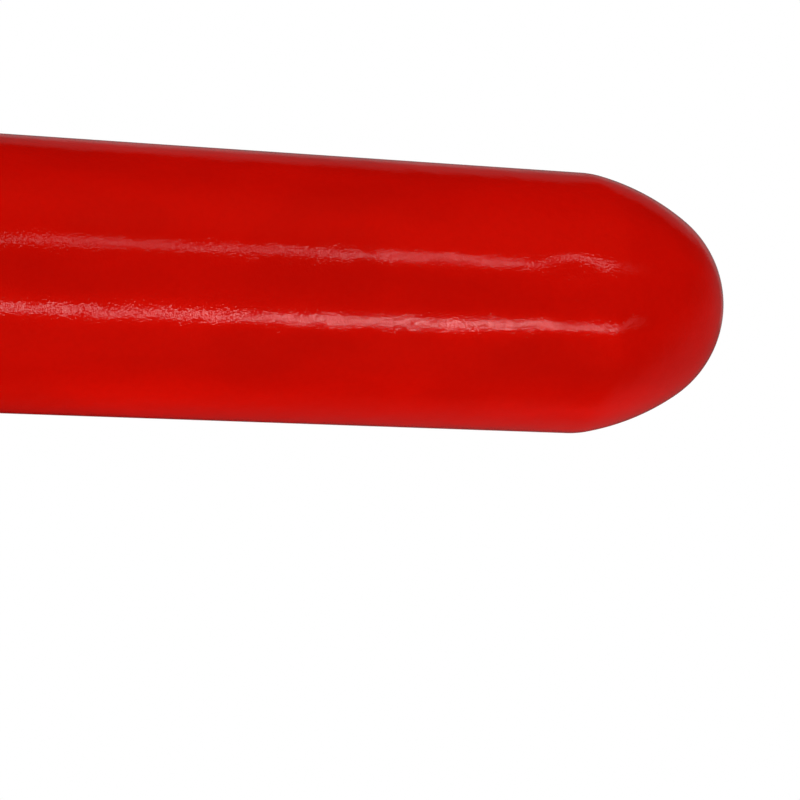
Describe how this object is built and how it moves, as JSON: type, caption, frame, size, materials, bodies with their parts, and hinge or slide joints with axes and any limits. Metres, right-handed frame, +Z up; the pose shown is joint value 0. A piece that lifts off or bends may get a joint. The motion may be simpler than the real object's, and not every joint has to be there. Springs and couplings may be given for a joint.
{
  "type": "manual post driver",
  "caption": "Heavy steel tube with a welded domed top, a strike plate and ballast inside, an open mouth that goes over a fence post, and a bent-bar handle with a rubber grip on each side.",
  "frame": {"origin": "centre of the open mouth, in the plane of its rim, which is what the driver stands on", "axes": "+Z up the tube's axis to the domed end; the handles lie in the XZ plane, one on +X and one on -X"},
  "size_m": [0.26, 0.073, 0.61],
  "materials": {
    "red_paint": "glossy red enamel over steel, with slight orange peel",
    "bare_steel": "bare hot-rolled steel, dulled by mill scale",
    "weld_metal": "unpainted weld bead, brushed",
    "black_rubber": "matt moulded rubber"
  },
  "bodies": {
    "root": {"barrel_tube": "red_paint", "dome_head": "red_paint", "dome_seam_weld": "red_paint", "strike_plate": "bare_steel", "strike_plate_weld": "weld_metal", "ballast_slug": "bare_steel", "slug_tack_weld_1": "weld_metal", "slug_tack_weld_2": "weld_metal", "slug_tack_weld_3": "weld_metal", "right_handle": "red_paint", "right_lower_foot_weld": "red_paint", "right_upper_foot_weld": "red_paint", "right_grip": "black_rubber", "left_handle": "red_paint", "left_lower_foot_weld": "red_paint", "left_upper_foot_weld": "red_paint", "left_grip": "black_rubber"}
  },
  "joints": []
}
